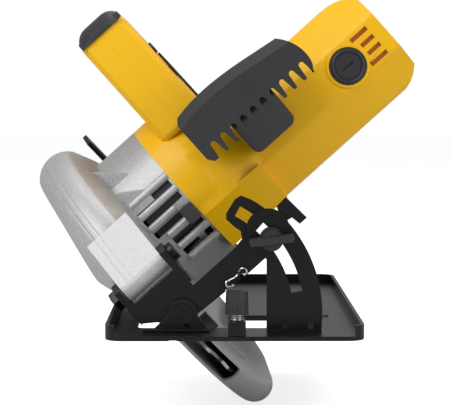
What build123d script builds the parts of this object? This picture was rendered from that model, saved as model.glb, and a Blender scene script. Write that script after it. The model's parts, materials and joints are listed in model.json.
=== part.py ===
# A compact circular saw: a blade and its guards on the left, the motor across on the right, and a
# steel shoe that the whole head tilts and swings on.  It is stored as it stands tilted 42 degrees.
#
# Frame: +X to the motor's side, +Y to the rear, +Z up, origin at the middle of the sole.  The pieces
# of the head and of the tilting frame are drawn upright and swung over together by swing_over().
import os
from math import cos, pi, radians, sin

from build123d import *

# ---- driving dimensions, mm -------------------------------------------------------------------
TILT = 42.0                    # how far the head leans over, in degrees
PIVOT_X, PIVOT_Z = -29.0, 12.0  # bevel axis, parallel to Y
SHOE_W, SHOE_L, SHOE_T = 143.0, 265.0, 2.5
SHOE_CORNER, LIP_T, LIP_TOP = 10.0, 2.2, 8.5
WINDOW_X = (-55.0, -3.0)       # blade window in the shoe
WINDOW_Y = (-97.0, 112.0)
PLATE = 2.4                    # pressed steel brackets
FIXED_FRONT_Y = -106.0         # back face of the two plates that stand on the shoe in front
TILT_FRONT_Y = -103.2          # back face of the tilting plate behind them
FIXED_REAR_Y = 124.7           # back face of the rear pivot plate
TILT_REAR_Y = 121.9            # back face of the tilting plate at the rear
RIVET_R = 3.0
RUNNING = 0.05                 # radial clearance of a shaft in its hole
SLOT_R, SLOT_HALF, BOLT_R = 65.0, 3.1, 2.9

AXLE_Y, AXLE_Z = 12.0, 27.0    # blade spindle, parallel to X
BLADE_R, BLADE_BORE_R = 92.0, 8.0
BLADE_X = (-37.0, -35.2)
BLADE_TEETH = 24
MOTOR_Z = AXLE_Z + 22.5        # armature above the spindle
MODULE, GEAR_TEETH, PINION_TEETH = 0.9, 40, 10

DEPTH_PIN_Y, DEPTH_PIN_Z, DEPTH_PIN_R = -92.0, 41.0, 4.0
DEPTH_ARC_R = 204.0            # slotted strip about the depth pin
DEPTH_BOLT_ANGLE = -6.0

GUARD_R, GUARD_WALL = 103.0, 2.5
LOWER_R, LOWER_WALL = 98.8, 1.8
HUB_R = 22.0                   # nose of the gear case that the lower guard turns on

CASE_X = (-18.5, 12.8)         # gear case
CASE_R, CASE_Y, CASE_Z = 46.0, 8.0, 60.5
CASE_WALL = 3.0
FAN_END_X = 42.0
MOTOR_END_X = 169.0
HOUSING_WALL = 3.0
BRUSH_X = 137.2

HANDLE_X = (24.0, 40.0, 56.0)  # left side, parting line, right side
HANDLE_WALL = 2.6

BEVEL_AXIS = Axis((PIVOT_X, 0, PIVOT_Z), (0, 1, 0))
AXLE = Axis((0, AXLE_Y, AXLE_Z), (1, 0, 0))
MOTOR_AXIS = Axis((0, AXLE_Y, MOTOR_Z), (1, 0, 0))

os.makedirs("parts", exist_ok=True)


# ---- helpers ----------------------------------------------------------------------------------
def side(x):
    """Plane for an outline in (y, z) at this x; its thickness grows towards +X."""
    return Plane.YZ.offset(x)


def front(y):
    """Plane for an outline in (x, z) at this y; its thickness grows towards the front."""
    return Plane.XZ.offset(-y)


def pivot_plane(y):
    """As front(), with its origin on the bevel axis."""
    return Plane((PIVOT_X, y, PIVOT_Z), x_dir=(1, 0, 0), z_dir=(0, -1, 0))


def radial_plane(angle):
    """Plane through the spindle's axis, its y running outwards at this angle from +Y towards +Z."""
    turn = radians(angle)
    return Plane((0, AXLE_Y, AXLE_Z), x_dir=(1, 0, 0), z_dir=(0, -sin(turn), cos(turn)))


def block(x, y, z, mode=Mode.ADD):
    """A box between two values on each axis."""
    with Locations(((x[0] + x[1]) / 2, (y[0] + y[1]) / 2, (z[0] + z[1]) / 2)):
        Box(x[1] - x[0], y[1] - y[0], z[1] - z[0], mode=mode)


def rod(axis, span, y, z, radius, mode=Mode.ADD, x=0.0):
    """A round bar along X, Y or Z between two values; the axis's own coordinate is ignored."""
    middle, length = (span[0] + span[1]) / 2, span[1] - span[0]
    centre = {"x": (middle, y, z), "y": (x, middle, z), "z": (x, y, middle)}[axis]
    along = {"x": (1, 0, 0), "y": (0, 1, 0), "z": (0, 0, 1)}[axis]
    with Locations(Plane(centre, z_dir=along)):
        Cylinder(radius, length, mode=mode)


def ring_sector(inner, outer, start, size, centre=(0, 0)):
    """A slice of a flat ring, for a sketch."""
    with BuildSketch(mode=Mode.PRIVATE) as piece:
        with BuildLine():
            near = CenterArc(centre, inner, start, size)
            far = CenterArc(centre, outer, start, size)
            Line(near @ 0, far @ 0)
            Line(near @ 1, far @ 1)
        make_face()
    return piece.sketch


def guard_section(right, shoulder, shoulder_r, crown_x, crown_r, left, left_r, plate_x, plate_r):
    """Half section of a blade guard in (x, radius): right wall, slope, round crown, left wall."""
    with BuildSketch(mode=Mode.PRIVATE) as half:
        with BuildLine():
            Polyline((right, 0), (right, shoulder[1]), (shoulder[0], shoulder_r))
            ThreePointArc((shoulder[0], shoulder_r), (crown_x, crown_r), (left, left_r))
            Polyline((left, left_r), (plate_x, plate_r), (plate_x, 0), (right, 0))
        make_face()
    return half.sketch


def case_outline(inset=0.0):
    """Section of the gear case in (y, z): the round case and the spindle's smaller one below."""
    with BuildSketch(mode=Mode.PRIVATE) as outline:
        with Locations((CASE_Y, CASE_Z)):
            Circle(CASE_R - inset)
        with Locations((AXLE_Y, AXLE_Z)):
            Circle(HUB_R + 0.5 - inset)
        make_hull()
    return outline.sketch


def motor_outline(inset=0.0):
    """Section of the motor body in (y, z): a square tube with its front and rear edges cut back."""
    with BuildSketch(mode=Mode.PRIVATE) as outline:
        half, low, high = 35.0, MOTOR_Z - 35.0, MOTOR_Z + 35.0
        front_y, rear_y = AXLE_Y - half, AXLE_Y + half
        with BuildLine():
            Polyline(
                (front_y, MOTOR_Z - 11), (front_y, MOTOR_Z + 14), (front_y + 17, high),
                (rear_y - 17, high), (rear_y, MOTOR_Z + 14), (rear_y, MOTOR_Z - 11),
                (rear_y - 15, low), (front_y + 15, low), close=True,
            )
        make_face()
        fillet(outline.vertices(), 7)
        if inset:
            offset(amount=-inset, mode=Mode.REPLACE)
    return outline.sketch


def gear_outline(teeth, turn):
    """Outline of a spur gear about the sketch's origin, one tooth at the angle turn."""
    pitch_r = MODULE * teeth / 2
    tip, root = pitch_r + 0.85 * MODULE, pitch_r - 1.1 * MODULE
    with BuildSketch(mode=Mode.PRIVATE) as outline:
        Circle(root)
        half_root = 0.78 * MODULE
        half_tip = 0.30 * MODULE
        with PolarLocations(0, teeth, start_angle=turn, angular_range=360):
            Polygon(
                (root - 0.3, -half_root), (tip, -half_tip), (tip, half_tip), (root - 0.3, half_root),
                align=None,
            )
    return outline.sketch


def swing_over(piece):
    """Lean a finished piece of the head or the tilting frame over to the stored angle."""
    piece.part = piece.part.rotate(BEVEL_AXIS, -TILT)


def save(piece, name):
    """Label a finished piece and write it."""
    piece.part.label = name
    export_step(piece.part, f"parts/{name}.step")


# ==== THE SHOE AND WHAT STANDS ON IT ============================================================
FRONT_Y = -SHOE_L / 2
with BuildPart() as shoe:
    with BuildSketch():
        RectangleRounded(SHOE_W, SHOE_L, SHOE_CORNER)
    extrude(amount=SHOE_T)
    # the turned-up lip runs round the sides and the rear and stops at the front corners
    with BuildSketch(Plane.XY.offset(SHOE_T)):
        RectangleRounded(SHOE_W, SHOE_L, SHOE_CORNER)
        RectangleRounded(
            SHOE_W - 2 * LIP_T, SHOE_L - 2 * LIP_T, SHOE_CORNER - LIP_T, mode=Mode.SUBTRACT
        )
        with Locations((0, FRONT_Y)):
            Rectangle(SHOE_W - 2 * 5.5, 16, mode=Mode.SUBTRACT)
    extrude(amount=LIP_TOP - SHOE_T)
    # shallow pressed panel on the motor's side
    block((-2, 56.5), (-48, 118), (SHOE_T, SHOE_T + 0.6))
    with BuildSketch(Plane.XY.offset(-1)):
        with Locations((sum(WINDOW_X) / 2, sum(WINDOW_Y) / 2)):
            RectangleRounded(WINDOW_X[1] - WINDOW_X[0], WINDOW_Y[1] - WINDOW_Y[0], 5)
        with Locations((8.5, -73)):
            RectangleRounded(37, 48, 5)
    extrude(amount=6, mode=Mode.SUBTRACT)
    # two sight notches, for square cuts and for bevel cuts
    with Locations((-34, FRONT_Y, SHOE_T / 2), (-25, FRONT_Y, SHOE_T / 2)):
        Box(4, 5, 2 * SHOE_T, mode=Mode.SUBTRACT)
save(shoe, "shoe")


def pivot_bracket(y, foot_towards, foot):
    """A pressed ear on the shoe with the bevel pivot's hole, its foot turned one way along Y."""
    with BuildPart() as bracket:
        with BuildSketch(pivot_plane(y)):
            Circle(8.5)
            Polygon(
                (-17, SHOE_T - PIVOT_Z), (15, SHOE_T - PIVOT_Z), (8.4, -1), (-8.4, -1), align=None
            )
            Circle(RIVET_R, mode=Mode.SUBTRACT)
        extrude(amount=PLATE)
        face_y = y - PLATE if foot_towards < 0 else y
        toe_y = face_y + foot_towards * foot
        block((-51, -14), sorted((face_y, toe_y)), (SHOE_T, SHOE_T + 1.6))
        for gusset_x in (-39.5, -28):
            with BuildSketch(side(gusset_x)):
                Polygon(
                    (face_y, SHOE_T + 1.6), (face_y, SHOE_T + 3.5),
                    (face_y + foot_towards * 3.5, SHOE_T + 1.6), align=None,
                )
            extrude(amount=3)
    return bracket


front_pivot_bracket = pivot_bracket(FIXED_FRONT_Y, -1, 7)
save(front_pivot_bracket, "front_pivot_bracket")
rear_pivot_bracket = pivot_bracket(FIXED_REAR_Y, 1, 5.2)
save(rear_pivot_bracket, "rear_pivot_bracket")

with BuildPart() as pivot_rivets:
    for ends in ((FIXED_FRONT_Y - PLATE, TILT_FRONT_Y + 0.1), (TILT_REAR_Y - PLATE - 0.1, FIXED_REAR_Y)):
        rod("y", (ends[0] - 1.4, ends[0]), 0, PIVOT_Z, 5.7, x=PIVOT_X)
        rod("y", ends, 0, PIVOT_Z, RIVET_R, x=PIVOT_X)
        rod("y", (ends[1], ends[1] + 1.4), 0, PIVOT_Z, 5.0, x=PIVOT_X)
save(pivot_rivets, "pivot_rivets")

BASE_Z = SHOE_T - PIVOT_Z
QUADRANT_R = 78.2
with BuildPart() as bevel_quadrant:
    with BuildSketch(pivot_plane(FIXED_FRONT_Y)):
        base_angle = -7.0
        with BuildLine():
            rim = CenterArc((0, 0), QUADRANT_R, base_angle, 52)
            Polyline(rim @ 1, (47, 40), (47, BASE_Z), (77.6, BASE_Z), rim @ 0)
        make_face()
        with Locations((47.7, 46.6)):
            Circle(12.4)
        Polygon((38.6, 38.2), (47, 30.5), (58, 44), (47, 47), align=None)
        add(ring_sector(SLOT_R - SLOT_HALF, SLOT_R + SLOT_HALF, 11.0, 37.6), mode=Mode.SUBTRACT)
    extrude(amount=PLATE)
    toe_y = FIXED_FRONT_Y - PLATE
    block((18, 48.5), (toe_y - 6, toe_y), (SHOE_T, SHOE_T + 1.6))
    for gusset_x in (26.4, 41):
        with BuildSketch(side(gusset_x)):
            Polygon(
                (toe_y, SHOE_T + 1.6), (toe_y, SHOE_T + 6), (toe_y - 4.5, SHOE_T + 1.6), align=None
            )
        extrude(amount=3)
save(bevel_quadrant, "bevel_quadrant")

# rip fence clamp at the front edge: a block with a slot for the fence's bar and a thumb screw
FENCE_X, FENCE_Y, FENCE_TOP = 1.2, -124.5, 10.5
with BuildPart() as fence_clamp_block:
    block((FENCE_X - 4.8, FENCE_X + 4.8), (FENCE_Y - 7, FENCE_Y + 7), (SHOE_T, FENCE_TOP))
    block((-20, 20), (FENCE_Y - 5, FENCE_Y + 5), (SHOE_T, SHOE_T + 4.6), mode=Mode.SUBTRACT)
    rod("z", (SHOE_T + 4, FENCE_TOP + 1), FENCE_Y, 0, 2.5 + RUNNING, Mode.SUBTRACT, x=FENCE_X)
save(fence_clamp_block, "fence_clamp_block")

with BuildPart() as fence_thumb_screw:
    rod("z", (SHOE_T + 4.8, 15), FENCE_Y, 0, 2.5, x=FENCE_X)
    with BuildSketch(Plane((FENCE_X, FENCE_Y, 14), z_dir=(0, 0, 1))):
        Circle(6.5)
    extrude(amount=12.6, taper=2)
    flutes = 26
    with Locations((FENCE_X, FENCE_Y, 21)):
        with PolarLocations(6.5, flutes):
            Cylinder(0.45, 13, mode=Mode.SUBTRACT)
save(fence_thumb_screw, "fence_thumb_screw")

with BuildPart() as fence_spring:
    for turn_z in (FENCE_TOP + 0.55, FENCE_TOP + 1.75, FENCE_TOP + 2.95):
        with Locations((FENCE_X, FENCE_Y, turn_z)):
            Torus(3.3, 0.5)
save(fence_spring, "fence_spring")

# ==== BEVEL CLAMP ===============================================================================
BOLT_TURN = radians(40.5)
BOLT_X, BOLT_Z = PIVOT_X + SLOT_R * cos(BOLT_TURN), PIVOT_Z + SLOT_R * sin(BOLT_TURN)
KNOB_BACK_Y = FIXED_FRONT_Y - PLATE - 0.3
with BuildPart() as bevel_bolt:
    rod("y", (TILT_FRONT_Y + 0.2, TILT_FRONT_Y + 3), 0, BOLT_Z, 6, x=BOLT_X)
    rod("y", (KNOB_BACK_Y - 11, TILT_FRONT_Y + 0.2), 0, BOLT_Z, BOLT_R, x=BOLT_X)
save(bevel_bolt, "bevel_bolt")

with BuildPart() as bevel_wing_knob:
    rod("y", (KNOB_BACK_Y - 7, KNOB_BACK_Y), 0, BOLT_Z, 6.6, x=BOLT_X)
    rod("y", (KNOB_BACK_Y - 14, KNOB_BACK_Y - 7), 0, BOLT_Z, 5.4, x=BOLT_X)
    wing = Plane((BOLT_X, KNOB_BACK_Y - 4, BOLT_Z), x_dir=(cos(0.12), 0, sin(0.12)), z_dir=(0, -1, 0))
    with BuildSketch(wing):
        RectangleRounded(24.6, 3.8, 1.2)
    extrude(amount=13)
    rod("y", (KNOB_BACK_Y - 12, KNOB_BACK_Y + 1), 0, BOLT_Z, BOLT_R + RUNNING, Mode.SUBTRACT, x=BOLT_X)
save(bevel_wing_knob, "bevel_wing_knob")

# ==== THE TILTING FRAME =========================================================================
EAR_X = ((-50.6, -47.0), (-16.6, -12.6))
with BuildPart() as tilt_front_bracket:
    with BuildSketch(pivot_plane(TILT_FRONT_Y)):
        with BuildLine():
            # the outer edge of the arm is an arc about the pivot, then the stop tab drops to its foot
            Polyline(
                (-20.5, 10.5), (-22, 14), (-22, 21.5), (14.9, 21.5), (14.9, 7.6), (46.2, 7.6),
                (52.5, 8.6), (55, 12.5), (54, 17), (53.4, 22.8), (55.4, 25.2), (64.3, 27.9),
                (68.4, 27.3), (70.8, 22.6),
            )
            ThreePointArc((70.8, 22.6), (73.4, 13.5), (74.1, 6.2))
            Polyline(
                (74.1, 6.2), (78.1, 6.6), (79.2, 9.4), (86.6, 9.8), (87.6, -6.6), (82.3, -6.6),
                (81.4, -1), (77.6, -0.3), (68, -8), (44, -8), (9, -6.2), (6, -6), (-6, -6),
                (-13.8, 5.5), (-20.5, 10.5),
            )
        make_face()
        Circle(8.4)
        add(ring_sector(SLOT_R - SLOT_HALF, SLOT_R + SLOT_HALF, -7.6, 27.4), mode=Mode.SUBTRACT)
        Circle(RIVET_R + RUNNING, mode=Mode.SUBTRACT)
        with Locations((81.2, 1.4)):
            Circle(0.9, mode=Mode.SUBTRACT)
        with Locations((28.5, -7.2), (39, -8)):
            Circle(2.2, mode=Mode.SUBTRACT)
    extrude(amount=PLATE)
    for ear in EAR_X:
        with BuildSketch(side(ear[0])):
            with Locations((DEPTH_PIN_Y, DEPTH_PIN_Z)):
                Circle(8)
            front_edge = TILT_FRONT_Y - PLATE
            Polygon(
                (front_edge, 22.4), (front_edge, 45), (DEPTH_PIN_Y - 4, DEPTH_PIN_Z + 6.9),
                (DEPTH_PIN_Y + 7, DEPTH_PIN_Z - 4), (TILT_FRONT_Y, 22.4), align=None,
            )
            with Locations((DEPTH_PIN_Y, DEPTH_PIN_Z)):
                Circle(DEPTH_PIN_R, mode=Mode.SUBTRACT)
        extrude(amount=ear[1] - ear[0])
swing_over(tilt_front_bracket)
save(tilt_front_bracket, "tilt_front_bracket")

with BuildPart() as depth_pin:
    rod("x", (EAR_X[0][0] - 5, EAR_X[1][1] + 1), DEPTH_PIN_Y, DEPTH_PIN_Z, DEPTH_PIN_R)
    with BuildSketch(side(EAR_X[0][0] - 4.4)):
        with Locations((DEPTH_PIN_Y, DEPTH_PIN_Z)):
            RegularPolygon(6.6, 6)
    extrude(amount=4.4)
    rod("x", (EAR_X[1][1], EAR_X[1][1] + 3.4), DEPTH_PIN_Y, DEPTH_PIN_Z, 5.6)
swing_over(depth_pin)
save(depth_pin, "depth_pin")

STRIP_X = (-20.0, -17.0)
with BuildPart() as tilt_rear_bracket:
    with BuildSketch(pivot_plane(TILT_REAR_Y)):
        Circle(8.4)
        Polygon((-6, -6), (15, -6), (17, 26), (5, 26), (-7.9, 3), align=None)
        Circle(RIVET_R + RUNNING, mode=Mode.SUBTRACT)
    extrude(amount=PLATE)
swing_over(tilt_rear_bracket)
save(tilt_rear_bracket, "tilt_rear_bracket")

REAR_PLATE_Y = TILT_REAR_Y - PLATE
with BuildPart() as depth_strip:
    with BuildSketch(side(STRIP_X[0])):
        pin = (DEPTH_PIN_Y, DEPTH_PIN_Z)
        add(ring_sector(DEPTH_ARC_R - 7, DEPTH_ARC_R + 7, -8.6, 33, centre=pin))
        Polygon(
            (106, 11), (REAR_PLATE_Y, 11), (REAR_PLATE_Y, 36), (112, 40), align=None
        )
        add(
            ring_sector(DEPTH_ARC_R - 3.1, DEPTH_ARC_R + 3.1, -7.0, 30.2, centre=pin),
            mode=Mode.SUBTRACT,
        )
    extrude(amount=STRIP_X[1] - STRIP_X[0])
swing_over(depth_strip)
save(depth_strip, "depth_strip")

# ==== THE BLADE GUARDS ==========================================================================
BOLT_ARC = radians(DEPTH_BOLT_ANGLE)
DEPTH_BOLT_Y = DEPTH_PIN_Y + DEPTH_ARC_R * cos(BOLT_ARC)
DEPTH_BOLT_Z = DEPTH_PIN_Z + DEPTH_ARC_R * sin(BOLT_ARC)


def guard_outer():
    """Outer half section of the upper guard."""
    return guard_section(-18.5, (-24.5, 84), 97, -37.2, GUARD_R, -50, 97, -63, 42)


with BuildPart() as upper_guard:
    guard_start, guard_sweep = -8.0, 194.0
    with BuildSketch(radial_plane(guard_start)):
        add(guard_outer())
    revolve(axis=AXLE, revolution_arc=guard_sweep)
    # lug that reaches forward to the depth pin
    with BuildSketch(side(-46.6)):
        Polygon(
            (-81, 75), (-99.6, 45), (-98, 34), (-90, 32.6), (-84, 36), (-70, 62), align=None
        )
    extrude(amount=29.7)
    with BuildSketch(radial_plane(guard_start)):
        add(guard_section(-21, (-26.7, 82.8), 95.3, -37.2, GUARD_R - 2.6, -48, 95.2, -60.5, 41.5))
    revolve(axis=AXLE, revolution_arc=guard_sweep, mode=Mode.SUBTRACT)
    rod("x", (-50, -15), AXLE_Y, AXLE_Z, HUB_R, Mode.SUBTRACT)
    rod("x", (-70, -50), AXLE_Y, AXLE_Z, 26, Mode.SUBTRACT)
    # the lower left edge is cut back so that the guard clears the shoe at full tilt
    with BuildSketch(front(130)):
        Polygon(
            (-70, -5), (-10, -5), (-10, 13), (-38, 13), (-40, 20), (-44, 28), (-56, 46), (-70, 62),
            align=None,
        )
    extrude(amount=250, mode=Mode.SUBTRACT)
    block((-55, -46.6), (-110, -83.2), (26, 50.5), mode=Mode.SUBTRACT)
    block((-46.6, -40), (-110, -90), (10, 24), mode=Mode.SUBTRACT)
    rod("x", (-46.6, -16.9), DEPTH_PIN_Y, DEPTH_PIN_Z, 8.5)
    rod("x", (-49, -16), DEPTH_PIN_Y, DEPTH_PIN_Z, DEPTH_PIN_R + RUNNING, Mode.SUBTRACT)
    rod("x", (-24.6, -20.3), DEPTH_BOLT_Y, DEPTH_BOLT_Z, 7)
    rod("x", (-25, -20), DEPTH_BOLT_Y, DEPTH_BOLT_Z, 3, Mode.SUBTRACT)
swing_over(upper_guard)
save(upper_guard, "upper_guard")

with BuildPart() as lower_guard:
    lower_start, lower_sweep = 187.0, 183.0
    with BuildSketch(radial_plane(lower_start)):
        add(guard_section(-22, (-27, 82), 94, -35.8, LOWER_R, -44.5, 94, -44.5, 45))
    revolve(axis=AXLE, revolution_arc=lower_sweep)
    with BuildSketch(radial_plane(lower_start)):
        inner_r = LOWER_R - LOWER_WALL
        add(guard_section(-23.8, (-28.3, 81.3), 92.5, -35.8, inner_r, -42.7, 92.5, -42.7, 45))
    revolve(axis=AXLE, revolution_arc=lower_sweep, mode=Mode.SUBTRACT)
    rod("x", (-50, -30), AXLE_Y, AXLE_Z, 45, Mode.SUBTRACT)
    # the crown is open in front, where the blade meets the work
    with BuildSketch(radial_plane(lower_start - 1)):
        with Locations((-36.6, 95)):
            Rectangle(11.6, 14)
    revolve(axis=AXLE, revolution_arc=37, mode=Mode.SUBTRACT)
    # two slots round the right shoulder
    for slot_r, slot_from, slot_size in ((90.5, 203, 22), (85.5, 208, 12)):
        with BuildSketch(radial_plane(slot_from)):
            with Locations((-24.5, slot_r)):
                Rectangle(8, 1.6)
        revolve(axis=AXLE, revolution_arc=slot_size, mode=Mode.SUBTRACT)
    rod("x", (-26.4, -22), AXLE_Y, AXLE_Z, 27)
    rod("x", (-30, -20), AXLE_Y, AXLE_Z, HUB_R + RUNNING, Mode.SUBTRACT)
swing_over(lower_guard)
save(lower_guard, "lower_guard")

with BuildPart() as guard_lever:
    with BuildSketch(radial_plane(194)):
        with Locations((-27.5, 98.2)):
            Rectangle(3, 7.6)
        with Locations((-25.5, 103)):
            Rectangle(10, 5)
    revolve(axis=AXLE, revolution_arc=6)
    with BuildSketch(radial_plane(193)):
        add(guard_section(-22, (-27, 82), 94, -35.8, LOWER_R, -44.5, 94, -44.5, 45))
    revolve(axis=AXLE, revolution_arc=8, mode=Mode.SUBTRACT)
swing_over(guard_lever)
save(guard_lever, "guard_lever")

with BuildPart() as guard_retaining_ring:
    rod("x", (-28.2, -27), AXLE_Y, AXLE_Z, 25)
    rod("x", (-29, -26), AXLE_Y, AXLE_Z, 18, Mode.SUBTRACT)
swing_over(guard_retaining_ring)
save(guard_retaining_ring, "guard_retaining_ring")

with BuildPart() as guard_spring:
    for turn_x in (-27.9, -26.5, -25.1):
        with Locations(Plane((turn_x, AXLE_Y, AXLE_Z), z_dir=(1, 0, 0))):
            Torus(28.2, 0.6)
swing_over(guard_spring)
save(guard_spring, "guard_spring")

# ==== BLADE AND SPINDLE =========================================================================
with BuildPart() as blade:
    with BuildSketch(side(BLADE_X[0])):
        with Locations((AXLE_Y, AXLE_Z)):
            Circle(BLADE_R - 5)
            with PolarLocations(0, BLADE_TEETH):
                Polygon(
                    (BLADE_R - 7, -9.0), (BLADE_R - 1.2, -3.4), (BLADE_R, 0.0), (BLADE_R - 7, 1.6),
                    align=None,
                )
            Circle(BLADE_BORE_R + RUNNING, mode=Mode.SUBTRACT)
    extrude(amount=BLADE_X[1] - BLADE_X[0])
swing_over(blade)
save(blade, "blade")

with BuildPart() as inner_flange:
    rod("x", (BLADE_X[1], -31.2), AXLE_Y, AXLE_Z, 20)
    rod("x", (BLADE_X[0] + 0.2, BLADE_X[1]), AXLE_Y, AXLE_Z, BLADE_BORE_R)
    rod("x", (-40, -30), AXLE_Y, AXLE_Z, 6, Mode.SUBTRACT)
swing_over(inner_flange)
save(inner_flange, "inner_flange")

with BuildPart() as outer_flange:
    rod("x", (-41, BLADE_X[0]), AXLE_Y, AXLE_Z, 20)
    rod("x", (-42, -36), AXLE_Y, AXLE_Z, 4, Mode.SUBTRACT)
    chamfer(outer_flange.faces().sort_by(Axis.X)[0].edges().sort_by(SortBy.LENGTH)[-1], 1.2)
swing_over(outer_flange)
save(outer_flange, "outer_flange")

with BuildPart() as spindle:
    rod("x", (-31.2, 6), AXLE_Y, AXLE_Z, 7.5)
    rod("x", (BLADE_X[0] + 0.2, -31.2), AXLE_Y, AXLE_Z, 6)
    rod("x", (-40, -18), AXLE_Y, AXLE_Z, 4, Mode.SUBTRACT)
swing_over(spindle)
save(spindle, "spindle")

with BuildPart() as blade_bolt:
    rod("x", (-41, -19), AXLE_Y, AXLE_Z, 4)
    rod("x", (-42.4, -41), AXLE_Y, AXLE_Z, 10)
    with BuildSketch(side(-47.4)):
        with Locations((AXLE_Y, AXLE_Z)):
            RegularPolygon(7.5, 6)
    extrude(amount=5)
swing_over(blade_bolt)
save(blade_bolt, "blade_bolt")

GEAR_X = (-9.0, 0.0)
with BuildPart() as drive_gear:
    with BuildSketch(side(GEAR_X[0])):
        with Locations((AXLE_Y, AXLE_Z)):
            add(gear_outline(GEAR_TEETH, 90))
            Circle(7.5, mode=Mode.SUBTRACT)
            with PolarLocations(12.6, 6):
                Circle(2.2, mode=Mode.SUBTRACT)
    extrude(amount=GEAR_X[1] - GEAR_X[0])
swing_over(drive_gear)
save(drive_gear, "drive_gear")


def ball_bearing(span, z, bore_r, outer_r):
    """A bearing along X as its two rings and its balls in one piece of solids that touch."""
    with BuildPart() as bearing:
        rod("x", span, AXLE_Y, z, outer_r)
        rod("x", (span[0] - 1, span[1] + 1), AXLE_Y, z, bore_r, Mode.SUBTRACT)
        race = (bore_r + outer_r) / 2
        for end, inward in ((span[0], 1), (span[1], -1)):
            with BuildSketch(side(end)):
                with Locations((AXLE_Y, z)):
                    Circle(race + 1.2)
                    Circle(race - 1.2, mode=Mode.SUBTRACT)
            extrude(amount=0.8 * inward, mode=Mode.SUBTRACT)
    return bearing


spindle_bearing_front = ball_bearing((-25.5, -16.5), AXLE_Z, 7.5 + RUNNING, 14)
swing_over(spindle_bearing_front)
save(spindle_bearing_front, "spindle_bearing_front")
with BuildPart() as spindle_bearing_rear:
    rod("x", (1.5, 6), AXLE_Y, AXLE_Z, 9.6)
    rod("x", (1, 7), AXLE_Y, AXLE_Z, 7.5 + RUNNING, Mode.SUBTRACT)
swing_over(spindle_bearing_rear)
save(spindle_bearing_rear, "spindle_bearing_rear")

# ==== GEAR CASE =================================================================================
LOCK_X, LOCK_Z, LOCK_R = 10.9, 49.5, 1.5
with BuildPart() as gear_case:
    with BuildSketch(side(CASE_X[0])):
        add(case_outline())
    extrude(amount=CASE_X[1] - CASE_X[0])
    with BuildSketch(side(CASE_X[0] + CASE_WALL)):
        add(case_outline(CASE_WALL))
    extrude(amount=40, mode=Mode.SUBTRACT)
    # cooling slots across the front, with ribs left between them
    for slot_z, slot_from in ((69.6, -19), (60.6, -19), (51, -19), (41.2, -13), (32, -13)):
        block((slot_from + 2, CASE_X[1] - 1.5), (-45, 0), (slot_z - 2.2, slot_z + 2.2), Mode.SUBTRACT)
    # upright webs that run up to the upper guard, cut to its shape
    for web_y, top_z, foot_z in ((-25, 109, 87.8), (-34.5, 90.6, 76)):
        with BuildSketch(front(web_y)):
            Polygon(
                (-25, top_z), (-2.6, foot_z), (-2.6, foot_z - 8), (-25, foot_z - 8), align=None
            )
        extrude(amount=2.6)
    with BuildSketch(radial_plane(-8)):
        add(guard_outer())
    revolve(axis=AXLE, revolution_arc=194, mode=Mode.SUBTRACT)
    with BuildSketch(side(CASE_X[0] + CASE_WALL)):
        add(case_outline(CASE_WALL))
    extrude(amount=40, mode=Mode.SUBTRACT)
    # nose that carries the spindle's bearing and the lower guard
    rod("x", (-27, CASE_X[0] + CASE_WALL), AXLE_Y, AXLE_Z, HUB_R)
    rod("x", (-25.5, -10), AXLE_Y, AXLE_Z, 14, Mode.SUBTRACT)
    rod("x", (-30, -25), AXLE_Y, AXLE_Z, 9, Mode.SUBTRACT)
    rod("y", (-50, -20), 0, LOCK_Z, LOCK_R + RUNNING, Mode.SUBTRACT, x=LOCK_X)
swing_over(gear_case)
save(gear_case, "gear_case")


def liner_outline(thick):
    """Curved strip just inside the case's front wall, in (y, z)."""
    outer = CASE_R - CASE_WALL
    return ring_sector(outer - thick, outer + 0.01, 150, 62, centre=(CASE_Y, CASE_Z))


# dark strip that closes the cooling slots from inside and guides the fan's air
with BuildPart() as air_baffle:
    with BuildSketch(side(CASE_X[0] + CASE_WALL + 0.2)):
        add(ring_sector(CASE_R - CASE_WALL - 1.6, CASE_R - CASE_WALL, 151, 60, centre=(CASE_Y, CASE_Z)))
    extrude(amount=CASE_X[1] - CASE_X[0] - CASE_WALL - 0.4)
    rod("y", (-50, -20), 0, LOCK_Z, LOCK_R + 0.3, Mode.SUBTRACT, x=LOCK_X)
swing_over(air_baffle)
save(air_baffle, "air_baffle")

COVER_X = (1.5, 6.0)
with BuildPart() as bearing_plate:
    with BuildSketch(side(COVER_X[0])):
        add(case_outline(CASE_WALL))
        add(liner_outline(2.0), mode=Mode.SUBTRACT)
        with Locations((AXLE_Y, AXLE_Z)):
            Circle(9.6, mode=Mode.SUBTRACT)
        with Locations((AXLE_Y, MOTOR_Z)):
            Circle(11, mode=Mode.SUBTRACT)
    extrude(amount=COVER_X[1] - COVER_X[0])
swing_over(bearing_plate)
save(bearing_plate, "bearing_plate")

with BuildPart() as spindle_lock_button:
    block((4.2, 13), (-47.5, -41.2), (42.6, 53.8))
    fillet(spindle_lock_button.edges().filter_by(Axis.Y), 1.8)
    rod("y", (-41.2, 2), 0, LOCK_Z, LOCK_R, x=LOCK_X)
swing_over(spindle_lock_button)
save(spindle_lock_button, "spindle_lock_button")

# ring on the armature with four holes for the button's pin
with BuildPart() as lock_collar:
    rod("x", (8.7, 13.2), AXLE_Y, MOTOR_Z, 9)
    rod("x", (8, 14), AXLE_Y, MOTOR_Z, 4, Mode.SUBTRACT)
    rod("y", (0, 24), 0, MOTOR_Z, LOCK_R + 0.2, Mode.SUBTRACT, x=LOCK_X)
    rod("z", (MOTOR_Z - 12, MOTOR_Z + 12), AXLE_Y, 0, LOCK_R + 0.2, Mode.SUBTRACT, x=LOCK_X)
swing_over(lock_collar)
save(lock_collar, "lock_collar")

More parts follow.
